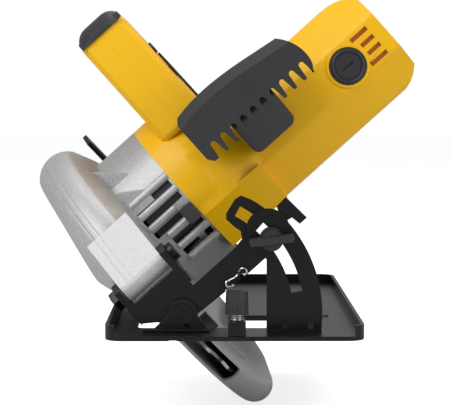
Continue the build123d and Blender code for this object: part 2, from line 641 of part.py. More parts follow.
# ==== MOTOR =====================================================================================
with BuildPart() as motor_housing:
    with BuildSketch(side(CASE_X[1])):
        add(motor_outline())
    extrude(amount=MOTOR_END_X - CASE_X[1])
    # the far end is rounded over, more at the top than below
    with BuildSketch(front(60)):
        low, high = MOTOR_Z - 35, MOTOR_Z + 35
        with BuildLine():
            Line((0, low), (146, low))
            ThreePointArc((146, low), (161, low + 2.2), (MOTOR_END_X, low + 9))
            Line((MOTOR_END_X, low + 9), (MOTOR_END_X, high - 8))
            ThreePointArc((MOTOR_END_X, high - 8), (161, high - 2.4), (150, high))
            Polyline((150, high), (0, high), (0, low))
        make_face()
    extrude(amount=100, mode=Mode.INTERSECT)
    with BuildSketch(side(CASE_X[1])):
        with Locations((CASE_Y, CASE_Z)):
            Circle(CASE_R)
    extrude(amount=FAN_END_X - CASE_X[1] - 14)
    with BuildSketch(side(FAN_END_X - 14)):
        with Locations((CASE_Y, CASE_Z)):
            Circle(CASE_R)
    extrude(amount=14, taper=20)
    # squared lower front of the fan section, and the ramp from there to the motor's face
    with BuildSketch(side(CASE_X[1])):
        Polygon((-35.4, 42), (-35.4, 40.8), (-19, 14.6), (8, 14.6), (8, 42), align=None)
    extrude(amount=57.4 - CASE_X[1])
    with BuildSketch(Plane.XY.offset(41)):
        Polygon(
            (CASE_X[1], -35.4), (40, -35.4), (60.5, -22.8), (60.5, 8), (CASE_X[1], 8), align=None
        )
    extrude(amount=33)
    with BuildSketch(side(CASE_X[1])):
        with Locations((CASE_Y, CASE_Z)):
            Circle(CASE_R - HOUSING_WALL)
    extrude(amount=18, mode=Mode.SUBTRACT)
    with BuildSketch(side(CASE_X[1])):
        add(motor_outline(HOUSING_WALL))
    extrude(amount=MOTOR_END_X - CASE_X[1] - HOUSING_WALL - 4, mode=Mode.SUBTRACT)
    rod("x", (150, MOTOR_END_X - HOUSING_WALL), AXLE_Y, MOTOR_Z, 14)
    rod("x", (149, 161), AXLE_Y, MOTOR_Z, 11, Mode.SUBTRACT)
    # brush openings front and rear, each with a raised ring
    for face_y, out in ((AXLE_Y - 35, -1), (AXLE_Y + 35, 1)):
        rod("y", sorted((face_y, face_y + 0.9 * out)), 0, MOTOR_Z, 13.2, x=BRUSH_X)
        rod("y", (face_y - 5, face_y + 5), 0, MOTOR_Z, 11.5, Mode.SUBTRACT, x=BRUSH_X)
        # cooling slots, cut short where they meet the ring
        for slot_z, slot_x in ((59.3, 148.2), (53.0, 151.2), (46.8, 151.2), (40.6, 148.2)):
            block((slot_x, 160.8), (face_y - 4, face_y + 4), (slot_z - 1.4, slot_z + 1.4), Mode.SUBTRACT)
swing_over(motor_housing)
save(motor_housing, "motor_housing")

with BuildPart() as field_stator:
    rod("x", (54, 108), AXLE_Y, MOTOR_Z, 31.8)
    rod("x", (50, 110), AXLE_Y, MOTOR_Z, 21, Mode.SUBTRACT)
swing_over(field_stator)
save(field_stator, "field_stator")

with BuildPart() as field_coils:
    for coil_x in ((46, 54), (108, 116)):
        with BuildSketch(side(coil_x[0])):
            with Locations((AXLE_Y, MOTOR_Z)):
                Circle(29.5)
                Circle(22.5, mode=Mode.SUBTRACT)
                Rectangle(12, 70, mode=Mode.SUBTRACT)
        extrude(amount=coil_x[1] - coil_x[0])
swing_over(field_coils)
save(field_coils, "field_coils")

with BuildPart() as armature_shaft:
    rod("x", (0.5, 160), AXLE_Y, MOTOR_Z, 4)
swing_over(armature_shaft)
save(armature_shaft, "armature_shaft")

with BuildPart() as pinion:
    with BuildSketch(side(-9.5)):
        with Locations((AXLE_Y, MOTOR_Z)):
            add(gear_outline(PINION_TEETH, 270 + 180 / PINION_TEETH))
    extrude(amount=10)
swing_over(pinion)
save(pinion, "pinion")

with BuildPart() as armature_core:
    with BuildSketch(side(56)):
        with Locations((AXLE_Y, MOTOR_Z)):
            Circle(20.4)
            with PolarLocations(19.6, 12):
                Rectangle(3, 1.6, mode=Mode.SUBTRACT)
            Circle(4, mode=Mode.SUBTRACT)
    extrude(amount=50)
swing_over(armature_core)
save(armature_core, "armature_core")

with BuildPart() as armature_windings:
    for span in ((47, 56), (106, 116)):
        rod("x", span, AXLE_Y, MOTOR_Z, 17.5)
    rod("x", (40, 120), AXLE_Y, MOTOR_Z, 4, Mode.SUBTRACT)
    rod("x", (56, 106), AXLE_Y, MOTOR_Z, 20, Mode.SUBTRACT)
swing_over(armature_windings)
save(armature_windings, "armature_windings")

with BuildPart() as commutator:
    rod("x", (126, 147), AXLE_Y, MOTOR_Z, 12)
    with BuildSketch(side(126)):
        with Locations((AXLE_Y, MOTOR_Z)):
            with PolarLocations(12, 24):
                Rectangle(1.6, 0.5)
    extrude(amount=21, mode=Mode.SUBTRACT)
    rod("x", (120, 150), AXLE_Y, MOTOR_Z, 4, Mode.SUBTRACT)
swing_over(commutator)
save(commutator, "commutator")

with BuildPart() as cooling_fan:
    rod("x", (14, 26), AXLE_Y, MOTOR_Z, 9)
    rod("x", (24.2, 26), AXLE_Y, MOTOR_Z, 30)
    with BuildSketch(side(15)):
        with Locations((AXLE_Y, MOTOR_Z)):
            with PolarLocations(18.5, 9):
                Rectangle(20, 1.4, rotation=24)
    extrude(amount=10)
    rod("x", (10, 30), AXLE_Y, MOTOR_Z, 4, Mode.SUBTRACT)
swing_over(cooling_fan)
save(cooling_fan, "cooling_fan")

armature_bearing_front = ball_bearing((COVER_X[0], 8.5), MOTOR_Z, 4 + RUNNING, 11)
swing_over(armature_bearing_front)
save(armature_bearing_front, "armature_bearing_front")
armature_bearing_rear = ball_bearing((152, 159), MOTOR_Z, 4 + RUNNING, 11)
swing_over(armature_bearing_rear)
save(armature_bearing_rear, "armature_bearing_rear")


def both_sides(make):
    """Two copies of a brush piece, one in front of the armature and one behind it."""
    with BuildPart() as pair:
        for out in (-1, 1):
            add(make(out))
    return pair


def brush_holder(out):
    """A square brass tube that guides a brush towards the commutator."""
    with BuildPart(mode=Mode.PRIVATE) as holder:
        ends = sorted((AXLE_Y + out * 14.5, AXLE_Y + out * 31))
        block((BRUSH_X - 5, BRUSH_X + 5), ends, (MOTOR_Z - 6, MOTOR_Z + 6))
        block(
            (BRUSH_X - 3.5, BRUSH_X + 3.5), (ends[0] - 1, ends[1] + 1), (MOTOR_Z - 4.5, MOTOR_Z + 4.5),
            Mode.SUBTRACT,
        )
    return holder.part


def carbon_brush(out):
    """A brush, its end a little off the commutator."""
    with BuildPart(mode=Mode.PRIVATE) as brush:
        ends = sorted((AXLE_Y + out * 12.2, AXLE_Y + out * 24))
        block((BRUSH_X - 3.4, BRUSH_X + 3.4), ends, (MOTOR_Z - 4.4, MOTOR_Z + 4.4))
    return brush.part


def brush_cap(out):
    """A screw cap with a coin slot, just proud of the housing."""
    with BuildPart(mode=Mode.PRIVATE) as cap:
        rod("y", sorted((AXLE_Y + out * 31, AXLE_Y + out * 36.6)), 0, MOTOR_Z, 11.3, x=BRUSH_X)
        face = AXLE_Y + out * 36.6
        rod("y", sorted((face, face - out * 0.5)), 0, MOTOR_Z, 10, Mode.SUBTRACT, x=BRUSH_X)
        rod("y", sorted((face - out * 0.5, face)), 0, MOTOR_Z, 7.6, x=BRUSH_X)
        block((BRUSH_X - 4, BRUSH_X + 4), sorted((face, face - out * 1.4)), (MOTOR_Z - 0.8, MOTOR_Z + 0.8),
              Mode.SUBTRACT)
    return cap.part


for brush_piece, maker in (
    ("brush_holders", brush_holder), ("carbon_brushes", carbon_brush), ("brush_caps", brush_cap)
):
    pair = both_sides(maker)
    swing_over(pair)
    save(pair, brush_piece)

# ==== MAIN HANDLE ===============================================================================
HANDLE_CORNERS = (
    # (y, z, corner radius) round the outside of the handle
    (-31.5, 88, 4.5), (-27.2, 135, 60), (-24, 166.5, 6), (8, 167.5, 100), (40, 160, 100),
    (75, 138, 110), (107, 101, 90), (121.5, 57, 10), (112, 38, 12), (60, 30, 20), (20, 60, 20),
    (-20, 88, 6),
)
OPENING_CORNERS = (
    (3, 132, 6), (34, 132, 22), (63, 116, 30), (88, 84, 20), (91, 57, 9), (70, 52, 10), (57, 70, 30),
    (48, 98, 12), (24, 116, 14), (2, 120, 5),
)


def rounded_loop(corners):
    """A closed outline of straight runs joined by arcs."""
    points = [(y, z) for y, z, radius in corners]
    return FilletPolyline(*points, radius=[radius for y, z, radius in corners], close=True)


def handle_outline():
    """Side view of the D-shaped handle in (y, z), with its finger opening."""
    with BuildSketch(mode=Mode.PRIVATE) as outline:
        with BuildLine():
            rounded_loop(HANDLE_CORNERS)
        make_face()
        with BuildLine():
            rounded_loop(OPENING_CORNERS)
        make_face(mode=Mode.SUBTRACT)
    return outline.sketch


def handle_shell(span, outer_x):
    """One half of the handle, hollow towards the parting line."""
    with BuildPart() as shell:
        with BuildSketch(side(span[0])):
            add(handle_outline())
        extrude(amount=span[1] - span[0])
        outer_face = shell.faces().filter_by(Axis.X).sort_by(Axis.X)[0 if outer_x < 0 else -1]
        chamfer(outer_face.edges(), 3.2)
        with BuildSketch(side(span[0] + (HANDLE_WALL if outer_x < 0 else 0))):
            add(handle_outline())
            offset(amount=-HANDLE_WALL, mode=Mode.REPLACE)
        extrude(amount=span[1] - span[0] - HANDLE_WALL, mode=Mode.SUBTRACT)
        # it fits round the fan housing and the motor body
        with BuildSketch(side(0)):
            with Locations((CASE_Y, CASE_Z)):
                Circle(CASE_R)
        extrude(amount=FAN_END_X, mode=Mode.SUBTRACT)
        with BuildSketch(side(0)):
            add(motor_outline())
        extrude(amount=80, mode=Mode.SUBTRACT)
        # openings for the trigger, the cord's gland and the lock-off button
        block((32.4, 47.6), (11, 42), (118, 150), Mode.SUBTRACT)
        rod("y", (108, 124), 0, 62, 6, Mode.SUBTRACT, x=HANDLE_X[1])
        rod("x", (46.5, 60), 20, 138, 4.1, Mode.SUBTRACT)
    return shell


SCREW_SPOTS = ((-22, 104), (-17, 152), (96, 104), (104, 52))
handle_left = handle_shell(HANDLE_X[:2], -1)
swing_over(handle_left)
save(handle_left, "handle_left")
handle_right = handle_shell(HANDLE_X[1:], 1)
with BuildPart() as handle_right_drilled:
    add(handle_right.part)
    for spot in SCREW_SPOTS:
        rod("x", (50, 60), *spot, 1.8, Mode.SUBTRACT)
        rod("x", (54.6, 60), *spot, 3.4, Mode.SUBTRACT)
swing_over(handle_right_drilled)
save(handle_right_drilled, "handle_right")

with BuildPart() as handle_screws:
    for spot in SCREW_SPOTS:
        rod("x", (54.6, 56), *spot, 3.3)
        rod("x", (36, 54.6), *spot, 1.7)
swing_over(handle_screws)
save(handle_screws, "handle_screws")

with BuildPart() as grip_cover:
    # soft cover over the top of the grip, from the front post to the rear
    with BuildSketch(side(HANDLE_X[0] + 0.6)):
        with BuildLine():
            Spline((-26, 165), (-18, 171), (4, 173), (36, 167.5), (75, 143.5), (97, 124), (112, 103))
            Polyline((112, 103), (104, 97), (60, 120), (0, 150), (-20, 162.5), (-26, 163), (-26, 165))
        make_face()
        add(handle_outline(), mode=Mode.SUBTRACT)
    extrude(amount=HANDLE_X[2] - HANDLE_X[0] - 1.2)
swing_over(grip_cover)
save(grip_cover, "grip_cover")

with BuildPart() as side_grip_pad:
    with BuildSketch(side(HANDLE_X[2])):
        with BuildLine():
            Spline((46, 134), (70, 122), (90, 98), (94, 80), (84, 104), (66, 116), periodic=True)
        make_face()
    extrude(amount=1.6)
swing_over(side_grip_pad)
save(side_grip_pad, "side_grip_pad")

TRIGGER_PIVOT = (13, 139)
with BuildPart() as trigger:
    with BuildSketch(side(33)):
        with BuildLine():
            Polyline((13, 140), (40, 136), (40, 128))
            Spline((40, 128), (30, 119.5), (20, 121), (13, 126))
            Line((13, 126), (13, 140))
        make_face()
    extrude(amount=14)
    rod("x", (33, 47), *TRIGGER_PIVOT, 2.8)
swing_over(trigger)
save(trigger, "trigger")

with BuildPart() as switch_module:
    block((31, 44.8), (12, 36), (142, 155))
swing_over(switch_module)
save(switch_module, "switch_module")

with BuildPart() as lock_off_button:
    rod("x", (49.5, 57.6), 20, 138, 4)
swing_over(lock_off_button)
save(lock_off_button, "lock_off_button")

with BuildPart() as cord_gland:
    rod("y", (112, 124), 0, 62, 6, x=HANDLE_X[1])
    with BuildSketch(Plane((HANDLE_X[1], 124, 62), z_dir=(0, 1, 0))):
        Circle(7)
    extrude(amount=9, taper=8)
    rod("y", (100, 140), 0, 62, 3.5, Mode.SUBTRACT, x=HANDLE_X[1])
swing_over(cord_gland)
save(cord_gland, "cord_gland")

# ==== FRONT HANDLE ==============================================================================
TOOTH_X, TOOTH_PITCH, TOOTH_SLOTS = 46.8, 7.52, 10
with BuildPart() as front_handle:
    with BuildSketch(front(-42)):
        with BuildLine():
            Polyline((38.2, 66), (38.2, 91.5), (41, 95))
            Spline((41, 95), (58.6, 97.1), (89.7, 95), (113.4, 91.4))
            Spline((113.4, 91.4), (118, 84.5), (120.6, 74.8), (119.4, 66.3))
            Polyline((119.4, 66.3), (116.4, 62.3), (41, 62.3), (38.2, 66))
        make_face()
    extrude(amount=38)
    # hollow below and behind, so that a toothed skirt hangs in front
    block((30, 130), (-72, -30), (50, 73), Mode.SUBTRACT)
    for index in range(TOOTH_SLOTS):
        slot_x = TOOTH_X + TOOTH_PITCH * index
        with BuildSketch(front(-60)):
            with Locations((slot_x, 62)):
                SlotCenterToCenter(16, 3.7, rotation=90)
        extrude(amount=30, mode=Mode.SUBTRACT)
    top_edges = front_handle.edges().filter_by(GeomType.BSPLINE).group_by(Axis.Y)
    chamfer(top_edges[0].sort_by(Axis.Z)[-1:], 6)
swing_over(front_handle)
save(front_handle, "front_handle")

with BuildPart() as front_handle_stem:
    with BuildSketch(side(61)):
        Polygon((-23, 46.5), (-40, 46.5), (-68, 68), (-68, 73), (-23, 73), align=None)
    extrude(amount=31.5)
    fillet(front_handle_stem.edges().filter_by(Axis.Y).sort_by(Axis.Z)[:2], 5)
swing_over(front_handle_stem)
save(front_handle_stem, "front_handle_stem")

# ==== DEPTH LOCK ================================================================================
with BuildPart() as depth_bolt:
    rod("x", (-24.6, -9.4), DEPTH_BOLT_Y, DEPTH_BOLT_Z, 3)
swing_over(depth_bolt)
save(depth_bolt, "depth_bolt")

with BuildPart() as depth_lever:
    rod("x", (STRIP_X[1] + 0.3, -9), DEPTH_BOLT_Y, DEPTH_BOLT_Z, 6.6)
    with BuildSketch(side(-14)):
        with BuildLine():
            Polyline(
                (DEPTH_BOLT_Y - 5, DEPTH_BOLT_Z), (DEPTH_BOLT_Y + 5, DEPTH_BOLT_Z),
                (DEPTH_BOLT_Y - 4, DEPTH_BOLT_Z + 46), (DEPTH_BOLT_Y - 12, DEPTH_BOLT_Z + 48), close=True,
            )
        make_face()
    extrude(amount=4.6)
    rod("x", (-20, -5), DEPTH_BOLT_Y, DEPTH_BOLT_Z, 3 + RUNNING, Mode.SUBTRACT)
swing_over(depth_lever)
save(depth_lever, "depth_lever")
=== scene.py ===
# %% [markdown]
# # A compact circular saw, leaning for a bevel cut
# The metal and plastic shapes come ready made from the imported model.  This lesson gives them what a
# drawing leaves out: softened edges, small pressed and moulded details, and the finish of each material.
# The model is loaded first, and its size is noted.

# %% Load the model
import json
from math import atan2, cos, degrees, hypot, pi, radians, sin, sqrt

import bmesh
import bpy
from mathutils import Matrix, Vector
from mathutils.bvhtree import BVHTree


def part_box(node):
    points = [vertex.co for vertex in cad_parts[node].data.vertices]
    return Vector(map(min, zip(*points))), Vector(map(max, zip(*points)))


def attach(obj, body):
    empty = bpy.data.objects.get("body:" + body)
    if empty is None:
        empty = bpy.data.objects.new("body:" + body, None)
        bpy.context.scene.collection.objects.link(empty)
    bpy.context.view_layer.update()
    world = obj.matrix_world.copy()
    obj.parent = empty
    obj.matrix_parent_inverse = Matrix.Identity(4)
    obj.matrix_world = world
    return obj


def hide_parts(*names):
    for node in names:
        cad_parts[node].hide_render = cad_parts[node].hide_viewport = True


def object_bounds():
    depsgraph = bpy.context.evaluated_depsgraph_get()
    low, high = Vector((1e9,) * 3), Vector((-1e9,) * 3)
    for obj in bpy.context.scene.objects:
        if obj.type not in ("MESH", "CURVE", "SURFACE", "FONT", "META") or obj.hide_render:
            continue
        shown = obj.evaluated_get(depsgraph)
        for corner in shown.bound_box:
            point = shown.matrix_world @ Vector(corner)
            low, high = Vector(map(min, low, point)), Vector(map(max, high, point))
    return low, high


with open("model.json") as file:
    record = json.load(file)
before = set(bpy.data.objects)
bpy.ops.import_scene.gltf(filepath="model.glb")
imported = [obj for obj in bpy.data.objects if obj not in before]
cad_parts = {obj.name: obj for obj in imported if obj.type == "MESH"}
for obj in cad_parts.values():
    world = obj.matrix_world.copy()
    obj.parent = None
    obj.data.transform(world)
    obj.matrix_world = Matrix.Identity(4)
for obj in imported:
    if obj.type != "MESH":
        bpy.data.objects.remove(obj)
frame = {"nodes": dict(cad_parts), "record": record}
size_at_load = [list(corner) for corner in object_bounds()]
nodes = frame["nodes"]
body_of_node = {
    node: body for body, members in frame["record"]["behaviour"]["bodies"].items() for node in members
}

# %% [markdown]
# ## The camera and the floor
# The saw is seen from the front of its shoe, from far enough away that its lines stay nearly parallel.
# A long lens does that.  The floor is a plain pale sheet under the lowest point of the blade guard.

# %% Camera and floor
LOOK_DOWN, LOOK_RIGHT = 3.80, 0.345  # degrees
camera = bpy.data.objects.new("camera", bpy.data.cameras.new("camera"))
camera.data.lens = 139.7
camera.data.sensor_width = 36
camera.location = (-0.0111, -1.0785, 0.1388)
camera.rotation_euler = (radians(90 - LOOK_DOWN), 0, radians(-LOOK_RIGHT))
bpy.context.collection.objects.link(camera)
bpy.context.scene.camera = camera

FLOOR_GAP = 0.0005
FLOOR_Z = size_at_load[0][2] - FLOOR_GAP
sheet = bmesh.new()
bmesh.ops.create_grid(sheet, x_segments=1, y_segments=1, size=6)
bmesh.ops.translate(sheet, verts=sheet.verts, vec=(0, 0, FLOOR_Z))
floor_mesh = bpy.data.meshes.new("floor")
sheet.to_mesh(floor_mesh)
sheet.free()
floor = bpy.data.objects.new("floor", floor_mesh)
bpy.context.collection.objects.link(floor)
print("floor at", round(FLOOR_Z * 1000, 1), "mm")

# %% [markdown]
# ## Soft studio light
# Large lamps make the broad, gentle highlights that moulded plastic and painted metal need.  The key
# lamp stands high at the left of the camera, a weaker one fills from the right, and one glances off the
# top edges from above.

# %% Lights
def soft_lamp(name, place, target, size, power):
    lamp = bpy.data.lights.new(name, "AREA")
    lamp.shape = "RECTANGLE"
    lamp.size, lamp.size_y = size
    lamp.energy = power
    holder = bpy.data.objects.new(name, lamp)
    holder.location = place
    holder.rotation_euler = (Vector(target) - Vector(place)).to_track_quat("-Z", "Y").to_euler()
    bpy.context.collection.objects.link(holder)


# place, target and size in metres, power in watts
soft_lamp("key_lamp", (-0.9, -1.0, 1.0), (0, 0, 0.08), (1.1, 1.1), 15)
soft_lamp("fill_lamp", (1.2, -1.0, 0.5), (0, 0, 0.05), (1.0, 1.0), 6)
soft_lamp("top_lamp", (0.15, 0.35, 1.3), (0, 0, 0.1), (1.1, 0.8), 9)
bpy.context.scene.view_settings.view_transform = "Standard"
print("three soft lamps, seen through the plain view transform")

# %% [markdown]
# ## The room
# A white room would light every side the same and wash the dark steel out.  So the room that the
# camera sees is white, and the light that it throws on the saw is about half as strong.

# %% World
ROOM_LIGHT = 0.42
world = bpy.data.worlds.new("studio")
world.use_nodes = True
room = world.node_tree
lit = room.nodes["Background"]
lit.inputs["Color"].default_value = (0.93, 0.96, 1.0, 1)
lit.inputs["Strength"].default_value = ROOM_LIGHT
seen = room.nodes.new("ShaderNodeBackground")
seen.inputs["Color"].default_value = (1, 1, 1, 1)
seen.inputs["Strength"].default_value = 1.0
ray = room.nodes.new("ShaderNodeLightPath")
choose = room.nodes.new("ShaderNodeMixShader")
room.links.new(ray.outputs["Is Camera Ray"], choose.inputs["Fac"])
room.links.new(lit.outputs["Background"], choose.inputs[1])
room.links.new(seen.outputs["Background"], choose.inputs[2])
room.links.new(choose.outputs["Shader"], room.nodes["World Output"].inputs["Surface"])
bpy.context.scene.world = world
print("the room lights the saw at", ROOM_LIGHT, "of the brightness that the camera sees")

# %% [markdown]
# ## Finishes
# Every finish is built the same way.  A fine noise roughens the gloss and the surface, and a broad one
# makes the colour drift a little, as on a real moulding.  On the sprayed casting the fine noise speckles
# the colour instead.  The rest is set on the shader.  The patterns are in metres, on the piece's own
# coordinates, so that they stay put when a piece moves.

# %% One recipe for all finishes
BROAD_NOISE = 38        # patches of about 26 mm
RELIEF_DEPTH = 0.0004   # metres
NOISE_SPAN = (0.3, 0.7)  # the part of a noise's range that it mostly fills


def finish(name, colour, rough, metal=0.0, grain=1200, bump=0.05, drift=0.06, spread=0.08, coat=0.0,
           specular=0.5, stretch=(1, 1, 1), speckle=False):
    material = bpy.data.materials.new(name)
    material.use_nodes = True
    tree = material.node_tree
    shader = tree.nodes["Principled BSDF"]
    place = tree.nodes.new("ShaderNodeTexCoord")
    turn = tree.nodes.new("ShaderNodeMapping")
    turn.inputs["Scale"].default_value = stretch
    tree.links.new(place.outputs["Object"], turn.inputs["Vector"])

    fine = tree.nodes.new("ShaderNodeTexNoise")
    fine.inputs["Scale"].default_value = grain
    fine.inputs["Detail"].default_value = 4
    broad = tree.nodes.new("ShaderNodeTexNoise")
    broad.inputs["Scale"].default_value = BROAD_NOISE
    broad.inputs["Detail"].default_value = 3
    for noise in (fine, broad):
        tree.links.new(turn.outputs["Vector"], noise.inputs["Vector"])

    shade = tree.nodes.new("ShaderNodeValToRGB")
    darker = [max(0.0, part * (1 - drift)) for part in colour]
    lighter = [min(1.0, part * (1 + drift)) for part in colour]
    for end, position, tone in zip(shade.color_ramp.elements, NOISE_SPAN, (darker, lighter)):
        end.position = position
        end.color = (*tone, 1)
    tree.links.new((fine if speckle else broad).outputs["Fac"], shade.inputs["Fac"])
    tree.links.new(shade.outputs["Color"], shader.inputs["Base Color"])

    gloss = tree.nodes.new("ShaderNodeMapRange")
    gloss.inputs["From Min"].default_value, gloss.inputs["From Max"].default_value = NOISE_SPAN
    gloss.inputs["To Min"].default_value = max(0.03, rough - spread / 2)
    gloss.inputs["To Max"].default_value = min(1.0, rough + spread / 2)
    tree.links.new(fine.outputs["Fac"], gloss.inputs["Value"])
    tree.links.new(gloss.outputs["Result"], shader.inputs["Roughness"])

    relief = tree.nodes.new("ShaderNodeBump")
    relief.inputs["Strength"].default_value = bump
    relief.inputs["Distance"].default_value = RELIEF_DEPTH
    tree.links.new(fine.outputs["Fac"], relief.inputs["Height"])
    tree.links.new(relief.outputs["Normal"], shader.inputs["Normal"])

    shader.inputs["Metallic"].default_value = metal
    shader.inputs["Specular IOR Level"].default_value = specular
    shader.inputs["Coat Weight"].default_value = coat
    shader.inputs["Coat Roughness"].default_value = 0.12
    return material


FINISHES = {
    "yellow_plastic": finish("yellow moulded nylon", (0.93, 0.51, 0.0), 0.40, grain=1300, bump=0.04,
                             drift=0.02, coat=0.05, specular=0.34),
    "black_rubber": finish("soft black rubber", (0.02, 0.0195, 0.021), 0.52, grain=2600, bump=0.35,
                           drift=0.15, spread=0.12),
    "dark_plastic": finish("dark moulded plastic", (0.021, 0.021, 0.023), 0.42, grain=2200, bump=0.25,
                           drift=0.12),
    "grey_plastic": finish("grey button plastic", (0.035, 0.035, 0.039), 0.5, grain=2200, bump=0.2),
    "amber_plastic": finish("amber fan nylon", (0.50, 0.14, 0.015), 0.5, grain=1500, bump=0.1),
    "black_steel": finish("black coated steel", (0.0055, 0.0053, 0.005), 0.3, grain=1500, bump=0.12,
                          drift=0.2, spread=0.12, specular=0.3),
    "silver_casting": finish("silver painted casting", (0.50, 0.50, 0.495), 0.50, metal=0.5, grain=1100,
                             bump=0.4, drift=0.16, spread=0.24, speckle=True),
    "cast_aluminium": finish("bare cast aluminium", (0.6, 0.6, 0.6), 0.5, metal=1.0, grain=1400, bump=0.3,
                             drift=0.1, spread=0.2),
    "ground_steel": finish("ground steel", (0.56, 0.56, 0.57), 0.28, metal=1.0, grain=900, bump=0.08,
                           spread=0.2, stretch=(1, 6, 6)),
    "zinc_steel": finish("zinc plated steel", (0.6, 0.6, 0.6), 0.34, metal=1.0, grain=1200, bump=0.08,
                         drift=0.12, spread=0.15),
    "spring_steel": finish("bright spring wire", (0.72, 0.72, 0.73), 0.18, metal=1.0, grain=1000, bump=0.04),
    "lamination_steel": finish("stacked steel sheets", (0.2, 0.2, 0.21), 0.5, metal=0.9, grain=700,
                               bump=0.3, stretch=(8, 1, 1)),
    "copper": finish("enamelled copper wire", (0.62, 0.22, 0.07), 0.35, metal=1.0, grain=1500, bump=0.4),
    "brass": finish("plain brass", (0.75, 0.52, 0.2), 0.35, metal=1.0, grain=1000, bump=0.06),
    "carbon": finish("pressed carbon", (0.03, 0.03, 0.03), 0.7, grain=2000, bump=0.4),
}
for entry in frame["record"]["subparts"]:
    nodes[entry["node"]].material_slots[0].material = FINISHES[entry["material_slot"]]
slot_of_node = {entry["node"]: entry["material_slot"] for entry in frame["record"]["subparts"]}

# the paper looks nearly white to the camera, and doesn't light the saw from below
PAPER_GLOW = 0.72
paper = finish("pale studio paper", (0.62, 0.62, 0.62), 0.9, grain=20, bump=0.02, drift=0.01)
paper.node_tree.nodes["Principled BSDF"].inputs["Emission Color"].default_value = (1, 1, 1, 1)
glow = paper.node_tree.nodes.new("ShaderNodeMath")
glow.operation = "MULTIPLY"
glow.inputs[1].default_value = PAPER_GLOW
seen_directly = paper.node_tree.nodes.new("ShaderNodeLightPath")
paper.node_tree.links.new(seen_directly.outputs["Is Camera Ray"], glow.inputs[0])
paper.node_tree.links.new(
    glow.outputs["Value"], paper.node_tree.nodes["Principled BSDF"].inputs["Emission Strength"]
)
floor.data.materials.append(paper)
print(len(FINISHES), "finishes")

# %% [markdown]
# ## Softened edges
# No pressed, cast or moulded edge is truly sharp, and the thin bright line along an edge is what makes
# a surface look solid.  A copy of each visible piece is merged, its flat areas are joined into single
# faces, and every edge sharper than a set angle is bevelled.  Weighted normals keep the flats flat
# beside their rounded edges.  The copy then stands for the piece.

# %% Turn a bmesh into a finished piece
SMOOTH_BELOW, BEVEL_ABOVE = 32, 28  # degrees between two faces


def make_piece(shape, name, body, slot, replaced=()):
    mesh = bpy.data.meshes.new(name)
    shape.to_mesh(mesh)
    shape.free()
    mesh.shade_smooth()
    mesh.set_sharp_from_angle(angle=radians(SMOOTH_BELOW))
    piece = bpy.data.objects.new(name, mesh)
    bpy.context.collection.objects.link(piece)
    mesh.materials.clear()
    mesh.materials.append(FINISHES[slot])
    flats = piece.modifiers.new("flats stay flat", "WEIGHTED_NORMAL")
    flats.keep_sharp = True
    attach(piece, body)
    if replaced:
        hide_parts(*replaced)
    print(name, len(mesh.polygons), "faces, rides on", body)


def merged_copy(node):
    shape = bmesh.new()
    shape.from_mesh(nodes[node].data)
    bmesh.ops.remove_doubles(shape, verts=shape.verts, dist=2e-6)
    bmesh.ops.dissolve_limit(shape, angle_limit=radians(0.6), verts=shape.verts, edges=shape.edges)
    return shape


def bevel_hard_edges(shape, width, segments=2, angle=BEVEL_ABOVE, where=None):
    shape.normal_update()
    hard = [
        edge for edge in shape.edges
        if edge.is_manifold and edge.calc_face_angle() > radians(angle) and (where is None or where(edge))
    ]
    bmesh.ops.bevel(
        shape, geom=hard, offset=width, offset_type="OFFSET", segments=segments, profile=0.5,
        affect="EDGES", clamp_overlap=True, material=-1,
    )
    return len(hard)


def soften(node, width, before=None, after=None):
    shape = merged_copy(node)
    if before:
        before(shape)
    count = bevel_hard_edges(shape, width)
    if after:
        after(shape)
    print(node, count, "edges softened")
    make_piece(shape, node + "_finished", body_of_node[node], slot_of_node[node], (node,))


# %% [markdown]
# ## The leaning frame
# The head leans about the bevel pivot.  It is easier to model its small pieces as if the saw stood
# upright, in millimetres, and to swing them over at the end, so two helpers go there and back.

# %% Lean over and back
JOINTS = {joint["name"]: joint for joint in frame["record"]["behaviour"]["joints"]}
TILT = radians(JOINTS["bevel_tilt"]["range_deg"][1])
PIVOT = Vector(JOINTS["bevel_tilt"]["pos_m"])
LEAN = Matrix.Translation(PIVOT) @ Matrix.Rotation(-TILT, 4, "Y") @ Matrix.Translation(-PIVOT)
FROM_MM = LEAN @ Matrix.Scale(0.001, 4)
ACROSS = LEAN.to_3x3() @ Vector((1, 0, 0))


def lean_over(shape):
    bmesh.ops.transform(shape, matrix=FROM_MM, verts=shape.verts)


def cut_across(shape, place):
    bmesh.ops.bisect_plane(
        shape, geom=shape.verts[:] + shape.edges[:] + shape.faces[:], dist=1e-7, plane_co=place,
        plane_no=ACROSS,
    )


def leaned(x, y, z):
    return FROM_MM @ Vector((x, y, z))


print("leans", round(TILT * 180 / pi, 1), "degrees about", [round(v * 1000, 1) for v in PIVOT])

# %% [markdown]
# ## Details worked into a copied piece
# Some details are part of the moulding itself, so they are made in the copy before its edges are
# softened.  The rivets get sunk and raised rings, and the soft cover of the grip is crowned along its two
# long edges: cuts across the grip give it rows of points, and each row is lowered a little more.  A ray
# cast inwards finds how thick the cover is there, so that it never sinks through.

# %% Sunk rings and a crowned cover
RIVET_HEAD_AREA = 7e-5  # square metres, less than a head's face and more than any other
RING_SLOPE = 0.00015
RIVET_RINGS = ((0.0010, -0.0003), (0.0016, 0.0003), (0.0012, -0.0005))  # inset and depth of each


